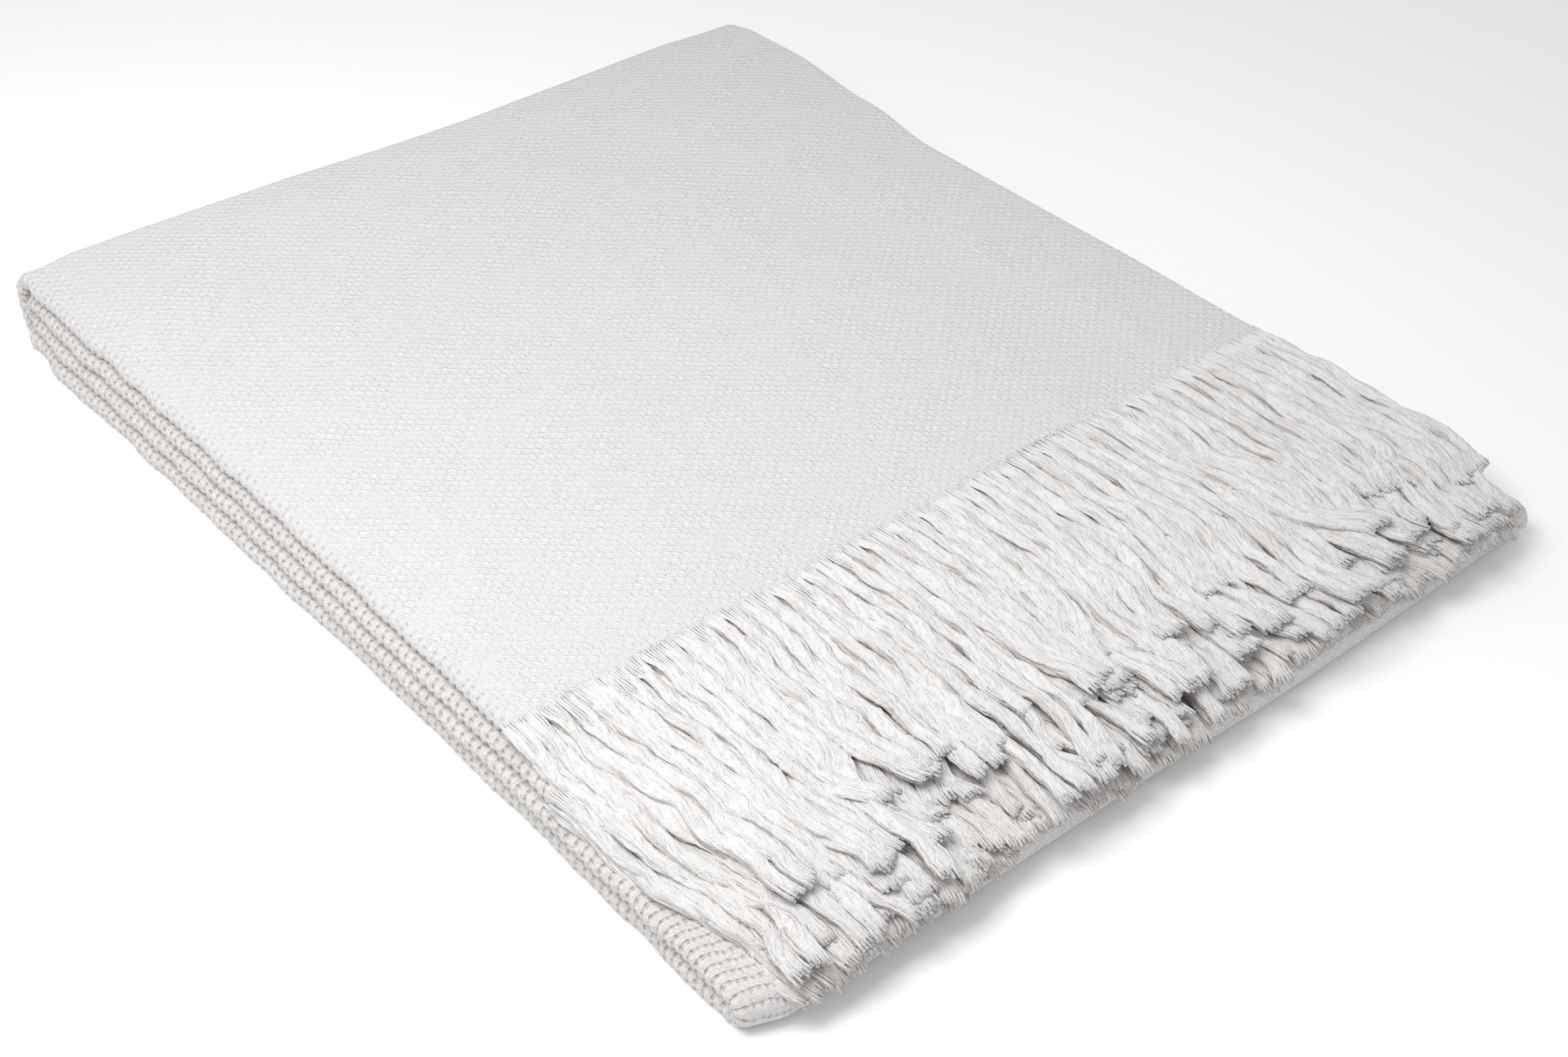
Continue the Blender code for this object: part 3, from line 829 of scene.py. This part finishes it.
# Tassels that lie apart from their row: row, tassel: sideways turn, where it ends, sink
turnedTassels = {
    ("fringeTop", 20): (24.0, 17.0, -1.5),
    ("fringeTop", 24): (-10.0, 30.0, 1.0),
    ("fringeTop", 25): (-3.0, 16.0, 3.0),
    ("fringeTop", 26): (-1.0, 19.0, 4.0),
    ("fringeTop", 13): (-12.0, 36.0, 0.0),
    ("fringeTop", 6): (10.0, 30.0, -1.0),
    ("fringeSecond", 22): (14.0, 6.0, 0.0),
    ("fringeSecond", 26): (-2.0, 2.0, 4.0),
    ("fringeThird", 26): (-3.0, -6.0, 3.0),
    ("fringeThird", 2): (12.0, -11.0, 2.0),
}


def pileHeight(rootHeight, along):
    # The pile thins towards the near fold
    plan = fringePlan
    share = np.clip((plan["pileFull"] - along) / (plan["pileFull"] - plan["overhang"]), 0, 1)
    return pileBase + (rootHeight - pileBase) * (1 + (plan["pileThinned"] - 1) * share)


def threePart(sizes, gathered, tip):
    root, body, end = sizes
    return root + (body - root) * gathered + (end - body) * tip


def drawWaves(name, chance):
    return [(chance.uniform(shortest, longest), chance.uniform(0, math.tau), part)
            for shortest, longest, part in strandWaves[name]]


def followWaves(waves, run):
    return sum(part * np.sin(math.tau * run / length + phase) for length, phase, part in waves)


def makeTassel(name, number, outermost, chance):
    # What the two strands of a tassel share
    plan, row = fringePlan, fringeRows[name]
    tip = chance.uniform(*row["tips"])
    if row["drawnBack"] and chance.random() < row["drawnBack"]:
        tip += chance.uniform(*plan["drawnBack"])
    tassel = {
        "tip": tip, "bend": chance.uniform(*row["bends"]),
        "joined": chance.random() < plan["joined"],
        "curl": plan["curl"] * chance.triangular(-1, 1, 0), "size": chance.uniform(0.9, 1.12),
        "stray": plan["stray"] * chance.uniform(-1, 1), "sink": chance.uniform(*plan["sink"]),
        "waves": [drawWaves(kind, chance) for kind in ("tasselSideways", "tasselUp")]}
    if (name, number) in turnedTassels:
        turned = zip(("curl", "tip", "sink"), turnedTassels[name, number])
        tassel.update(turned, joined=True)
    if chance.random() < row["short"] and not outermost:
        tassel["tip"] += plan["shortened"]
    return tassel


def strandLine(root, run, row, leans, side, tassel, chance):
    # Middle line, half width, half depth and roll of one strand at every station. root is where
    # it starts and its distance from the cloth's left side, leans are its drift and its bias
    plan = fringePlan
    rootX, rootY, rootZ, fromLeft = root
    lean, bias = leans
    tipRun = run[-1]
    share = run / tipRun
    level, full = plan["wanderStart"]
    settled = ease((run - level) / full)
    toTip = ease(1 - (tipRun - run) / plan["curlLength"])
    tip = ease((run - tipRun + plan["tipLength"]) / plan["tipLength"])
    gathered = ease(run / plan["gather"])
    apart = plan["part"] * (1 - 0.8 * tip if tassel["joined"] else 1)
    # Sideways
    gap = threePart(plan["halfGap"], gathered, tip if tassel["joined"] else 0 * tip)
    middleX = rootX + side * (gap - plan["halfGap"][0]) + bias * share ** 2.2
    middleX = middleX + (lean + tassel["stray"]) * share ** 1.1 + tassel["curl"] * toTip ** 1.5
    own = followWaves(drawWaves("sideways", chance), run)
    wave = followWaves(tassel["waves"][0], run)
    middleX = middleX + plan["wander"][0] * settled * (wave + apart * own)
    # Along, and down over the near fold
    over = math.radians(tassel["bend"]) * ease(
        (run - (rootY - row["bendAt"])) / plan["bendLength"])
    steps = np.diff(run, prepend=run[0])
    middleY = rootY - np.cumsum(np.cos(over) * steps)
    fall = np.cumsum(np.sin(over) * steps) + tassel["sink"] * toTip
    drift = plan["sway"] * ripples(rootX + 0 * run, middleY, *plan["swayLengths"], 6, 21)
    start, full = plan["swayStart"]
    middleX = middleX + drift * ease((run - start) / full)
    # Height in the pile
    own = followWaves(drawWaves("up", chance), run)
    wave = followWaves(tassel["waves"][1], run)
    heave = plan["wander"][1] * settled * (wave + apart * own)
    arch = row["rise"] * np.sin(math.pi * np.minimum(2 * share, 1.6) / 2)
    lowered, reach, start = plan["sideDroop"]
    droop = lowered * ease(1 - fromLeft / reach) * ease(run / start)
    middleZ = pileHeight(rootZ, middleY) + arch + heave - fall - droop * (rootZ - pileBase)
    middleZ = np.maximum(middleZ, plan["lowest"] + 0.2 * middleZ * (middleZ > 0))
    # Size and roll
    girth = followWaves(drawWaves("girth", chance), run)
    uneven = 1 + plan["unevenness"] * gathered * girth
    sizes = zip(plan["rootSize"], plan["bodySize"], plan["tipSize"])
    width, depth = (threePart(size, gathered, tip) for size in sizes)
    width = width * uneven * (1 + (tassel["size"] - 1) * gathered)
    roll = followWaves(drawWaves("roll", chance), run)
    roll = plan["roll"] * gathered * roll * (1 - 0.7 * tip)
    crinkled = np.array([[chance.uniform(-1, 1) for _ in range(3)] for _ in run])
    crinkled = crinkled * plan["crinkle"] * gathered[:, None]
    width = width * (1 + crinkled[:, 2])
    line = np.stack((middleX + crinkled[:, 0], middleY, middleZ + crinkled[:, 1]), -1)
    return line, width, depth / uneven ** 0.5, roll


def frameAlong(lines):
    ahead = np.gradient(lines, axis=-2)
    ahead /= np.linalg.norm(ahead, axis=-1, keepdims=True)
    sideways = np.cross(ahead, (0.0, 0.0, 1.0))
    sideways /= np.linalg.norm(sideways, axis=-1, keepdims=True)
    return sideways, np.cross(sideways, ahead)


def makeBody(line, width, depth, roll, run, sides, chance):
    # One closed tube with soft ridges, its seam underneath
    plan = fringePlan
    sideways, upward = frameAlong(line)
    angle = (np.arange(sides) / sides - 0.25) * math.tau
    lobes, height = plan["lobes"]
    phase = chance.uniform(0, math.tau) + math.tau * run[:, None] / plan["lobeTurn"]
    ridge = 1 + height * np.sin(lobes * angle + phase)
    ridge = ridge + 0.5 * height * np.sin((lobes - 2) * angle - 1.3 * phase)
    across, over = (np.sign(part) * np.abs(part) ** plan["boxy"]
                    for part in (np.cos(angle), np.sin(angle)))
    out = width[:, None] * ridge * across
    up = depth[:, None] * ridge * over
    turned, risen = np.cos(roll)[:, None], np.sin(roll)[:, None]
    out, up = out * turned - up * risen, out * risen + up * turned
    points = line[:, None, :] + out[..., None] * sideways[:, None, :]
    return points + up[..., None] * upward[:, None, :]


def makeThreads(line, out, up, radii):
    # Thin four-sided threads beside a strand's line, each with its own way out and up
    sideways, upward = frameAlong(line)
    lines = line[None] + out[..., None] * sideways[None] + up[..., None] * upward[None]
    sideways, upward = frameAlong(lines)
    angle = np.arange(4) / 4 * math.tau
    ring = (np.cos(angle)[:, None] * sideways[:, :, None, :]
            + np.sin(angle)[:, None] * upward[:, :, None, :])
    return lines[:, :, None, :] + ring * np.broadcast_to(radii, out.shape)[..., None, None]


def moveAlong(points, first, second, distance):
    ahead = second - first
    return points + distance[..., None, None] * (ahead / np.linalg.norm(ahead))


def sampleLine(run, values, at):
    columns = np.atleast_2d(values.T)
    return np.stack([np.interp(at, run, column) for column in columns], -1).squeeze()


def sideBySide(count):
    return (np.arange(count) + 0.5) / count * 2 - 1


def cutEnd(line, width, depth, run, chance):
    # Threads that come out of the strand near its cut end
    plan = fringePlan
    at = np.linspace(run[-1] - plan["tipLength"] * chance.uniform(0.9, 1.2), run[-1], 7)
    middle, a, b = (sampleLine(run, values, at) for values in (line, width, depth))
    share = np.linspace(0, 1, len(at))
    # Two flat courses of threads, side by side
    place = np.concatenate([sideBySide(count) for count in plan["threads"]])
    course = np.repeat((1.0, -1.0), plan["threads"])
    flare = 1 + 0.14 * share ** 2 * chance.uniform(-0.6, 1.2)
    jitter = np.array([[chance.uniform(-1, 1) for _ in range(2)] for _ in place])
    out = 0.97 * a * flare * place[:, None] + 0.35 * jitter[:, :1] * share ** 2
    arched = np.sqrt(1 - 0.75 * place ** 2)[:, None]
    up = 0.5 * b * course[:, None] * arched + 0.3 * jitter[:, 1:] * share
    radii = plan["threadRadius"] * (0.85 + 0.15 * ease(share * 3)) * (1 - 0.10 * share)
    points = makeThreads(middle, out, up, radii)
    # The cut is slanted and a little uneven
    slant = chance.uniform(-2.0, 2.0)
    longer = np.array([slant * turn + chance.uniform(-0.9, 0.9) for turn in place])
    return moveAlong(points, middle[-2], middle[-1], longer[:, None] * share ** 3), at


def rootThreads(line, width, depth, run, chance):
    # Threads that leave the cloth side by side and sink into the strand
    plan = fringePlan
    at = np.linspace(0.0, plan["gather"] * chance.uniform(1.2, 2.2), 7)
    middle, a, b = (sampleLine(run, values, at) for values in (line, width, depth))
    share = np.linspace(0, 1, len(at))
    place = sideBySide(plan["rootThreads"])
    jitter = np.array([chance.uniform(-1, 1) for _ in place])[:, None]
    out = a * place[:, None] * (1 - 0.18 * share) + 0.25 * jitter
    over = b * np.sqrt(np.clip(1 - (out / (a * 1.05)) ** 2, 0.02, 1))
    up = over - 0.14 + 0.18 * jitter - 1.3 * ease((share - 0.55) / 0.45)
    up = up + 0.45 * (jitter + 0.4) * (1 - share) ** 3
    points = makeThreads(middle, out, up, plan["rootRadius"])
    # Each comes up through the cloth at its own place
    back = plan["rootStagger"] * (1 + np.roll(jitter, 2, axis=0)) * (1 - share) ** 3
    return moveAlong(points, middle[0], middle[1], -back), at


def tubeFaces(count, stops, sides):
    number = np.arange(count * stops * sides).reshape(count, stops, sides)
    following = np.roll(number, -1, axis=2)
    quads = np.stack([number[:, :-1], number[:, 1:], following[:, 1:], following[:, :-1]], -1)
    return quads.reshape(-1, 4).tolist() + number[:, 0].tolist() + number[:, -1, ::-1].tolist()


def addTubes(bundle, tubes, at, number, girth, shaded):
    # Into the row's lists: girth is the share of the strand's yarn that goes round each tube
    bunch, stations, around = tubes.shape[:3]
    start = sum(len(points) for points in bundle["points"])
    bundle["faces"].extend([[corner + start for corner in face]
                            for face in tubeFaces(bunch, stations, around)])
    place = np.zeros(tubes.shape)
    place[..., 0] = np.arange(around) / around * girth
    place[..., 1] = at[None, :, None] * mm
    place[..., 2] = (number + 0.37 * np.arange(bunch))[:, None, None]
    # Sides and undersides of the solid strands are in the shade of their neighbours
    facing = np.sin((np.arange(around) / around - 0.25) * math.tau)
    shade = np.broadcast_to(shaded * ease((0.45 - facing) / 0.7), tubes.shape[:3])
    bundle["points"].append(tubes.reshape(-1, 3))
    bundle["places"].append(place.reshape(-1, 3))
    bundle["shades"].append(shade.reshape(-1))


def strandStations(row, rootY, tipRun, outermost):
    # Distances run along a strand, closer together where it shows
    if row["detail"] is None or outermost:
        return np.linspace(0, tipRun, max(row["stops"], fringePlan["outerStops"]))
    covered, hidden = rootY - row["detail"], fringePlan["hiddenStops"]
    return np.concatenate((np.linspace(0, covered, hidden + 1)[:-1],
                           np.linspace(covered, tipRun, row["stops"] - hidden)))


def strandTubes(strand, run, number, sides, rooted, shaded, chance):
    # The solid strand, which stops short of the cut, and the threads at both its ends
    plan = fringePlan
    solid = run * (run[-1] - plan["bare"]) / run[-1]
    start, reach = plan["narrowFrom"]
    thinner, flatter = (1 - share * ease((solid - run[-1] + start) / reach)
                        for share in plan["narrowed"])
    line, width, depth, roll = (sampleLine(run, values, solid) for values in strand)
    body = makeBody(line, width * thinner, depth * flatter, roll, solid, sides, chance)
    tubes = [(body[None], solid, number, 1.0, shaded),
             (*cutEnd(*strand[:3], run, chance), number + 3, 0.28, 0.0)]
    if rooted:
        tubes.append((*rootThreads(*strand[:3], run, chance), number + 9, 0.20, 0.0))
    return tubes


def makeFringeRow(name, seed):
    plan, row = fringePlan, fringeRows[name]
    end = fringedEnds[row["node"]]
    chance = random.Random(seed)
    layer, count, reach = end["layer"], plan["count"], plan["reach"]
    left, right = (float(side) for side in layerEdges(layer, end["edge"]))
    rootY = end["edge"] + plan["inside"]
    rootZ = layerHeight(layer) + end["up"] * row["ply"] * stackPlan["plyPitch"]
    pitch = (right - left - 2 * plan["margin"]) / (count - 1)
    bundle = {"points": [], "faces": [], "places": [], "shades": []}
    for i in range(count):
        outermost = i < 3 or i > count - 4
        place = (i + row["shift"] - (row["shift"] > 0.3)) * pitch
        x = left + plan["margin"] + max(place, 0.0)
        if i % 2 == 0:
            tassel = makeTassel(name, i // 2, outermost, chance)
            tip = tassel["tip"]
        elif not tassel["joined"]:
            tip = chance.uniform(*row["tips"])
        lean = plan["lean"] * math.sin(math.tau * x / plan["leanLength"])
        lean += row["leanRight"] * float(ease((x - right + reach) / reach))
        bias = plan["leanLeft"] * float(ease((left + reach - x) / reach))
        run = strandStations(row, rootY, rootY - tip, outermost)
        strand = strandLine((x, rootY, rootZ, x - left), run, row, (lean, bias),
                            -1 if i % 2 == 0 else 1, tassel, chance)
        rooted = row["ply"] == 1 and layer == topLayer or outermost
        shaded = plan["neighbourShade"] if 0 < i < count - 1 else 0.0
        for tubes in strandTubes(strand, run, 20 * i + 1500 * seed, row["sides"], rooted,
                                 shaded, chance):
            addTubes(bundle, *tubes)
    points, places, shades = (
        np.concatenate(bundle[kind]) for kind in ("points", "places", "shades"))
    # Painted shade for each point: darker down in the pile and on the sides of inner strands, less
    # on the lit left side
    topmost = pileHeight(layerHeight(topLayer) + stackPlan["plyPitch"], points[:, 1])
    pileShades = np.clip((topmost - points[:, 2]) / plan["shadeDepth"] + shades, 0, 1)
    least, litReach = plan["litSide"]
    pileShades = pileShades * (least + (1 - least) * ease((points[:, 0] - left) / litReach))
    piece = makeObject(name, points, bundle["faces"],
                       {"yarnPlace": places, "pileShade": pileShades}, yarnMaterial)
    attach(piece, "root")
    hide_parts(row["node"])
    print(name + ":", len(bundle["faces"]), "faces")
    return piece


fringePieces = [makeFringeRow(name, seed) for seed, name in enumerate(fringeRows, 5)]


# Floor, light and camera

studio = {
    "floorSize": 6.0,
    "floorColour": (0.99, 0.99, 0.99, 1.0),
    "floorCloud": (0.8, 0.8, 0.8, 1.0),
    "floorRoughness": 0.9,
    "floorSpecular": 0.1,
    "surround": 0.66,
    "keyPlace": (-0.42, -0.06, 0.80),
    "keySize": 0.6,
    "keyPower": 6.0,
    "azimuth": -39.8,           # degrees, 0 looks along +Y
    "elevation": 38.4,
    "aim": (-0.0487, -0.0965, 0.02),
    "distance": 0.8992,
    "lens": 49.24,
}


def makeFloor():
    size = studio["floorSize"] / 2
    mesh = bpy.data.meshes.new("floor")
    corners = [(-size, -size, 0), (size, -size, 0), (size, size, 0), (-size, size, 0)]
    mesh.from_pydata([(x, y, cadLow[2] + z) for x, y, z in corners], [], [(0, 1, 2, 3)])
    material, tree, shader = newMaterial("floorPaint")
    place = addNode(tree, "ShaderNodeTexCoord").outputs["Object"]
    cloudy = mapTo(tree, noiseAt(tree, place, 2.0, 0.0), 0.3, 0.7, 0.0, 0.04)
    colour = blendColours(tree, cloudy, studio["floorColour"], studio["floorCloud"])
    tree.links.new(colour, shader.inputs["Base Color"])
    shader.inputs["Roughness"].default_value = studio["floorRoughness"]
    shader.inputs["Specular IOR Level"].default_value = studio["floorSpecular"]
    mesh.materials.append(material)
    floor = bpy.data.objects.new("floor", mesh)
    bpy.context.scene.collection.objects.link(floor)


def makeLights():
    scene = bpy.context.scene
    world = bpy.data.worlds.new("studioWorld")
    world.use_nodes = True
    background = world.node_tree.nodes["Background"]
    background.inputs["Color"].default_value = (1.0, 1.0, 1.0, 1.0)
    background.inputs["Strength"].default_value = studio["surround"]
    scene.world = world
    light = bpy.data.lights.new("windowLight", "AREA")
    light.shape = "SQUARE"
    light.size = studio["keySize"]
    light.energy = studio["keyPower"]
    key = bpy.data.objects.new("windowLight", light)
    key.location = studio["keyPlace"]
    scene.collection.objects.link(key)
    scene.view_settings.view_transform = "Standard"


def makeCamera():
    turn, rise = math.radians(studio["azimuth"]), math.radians(studio["elevation"])
    back = Vector((math.sin(turn) * math.cos(rise), -math.cos(turn) * math.cos(rise),
                   math.sin(rise)))
    camera = bpy.data.objects.new("camera", bpy.data.cameras.new("camera"))
    camera.data.lens = studio["lens"]
    camera.data.sensor_width = 36.0
    camera.location = Vector(studio["aim"]) + back * studio["distance"]
    camera.rotation_mode = "QUATERNION"
    camera.rotation_quaternion = (-back).to_track_quat("-Z", "Y")
    bpy.context.scene.collection.objects.link(camera)
    bpy.context.scene.camera = camera


makeFloor()
makeLights()
makeCamera()
print("floor, light and camera ready")
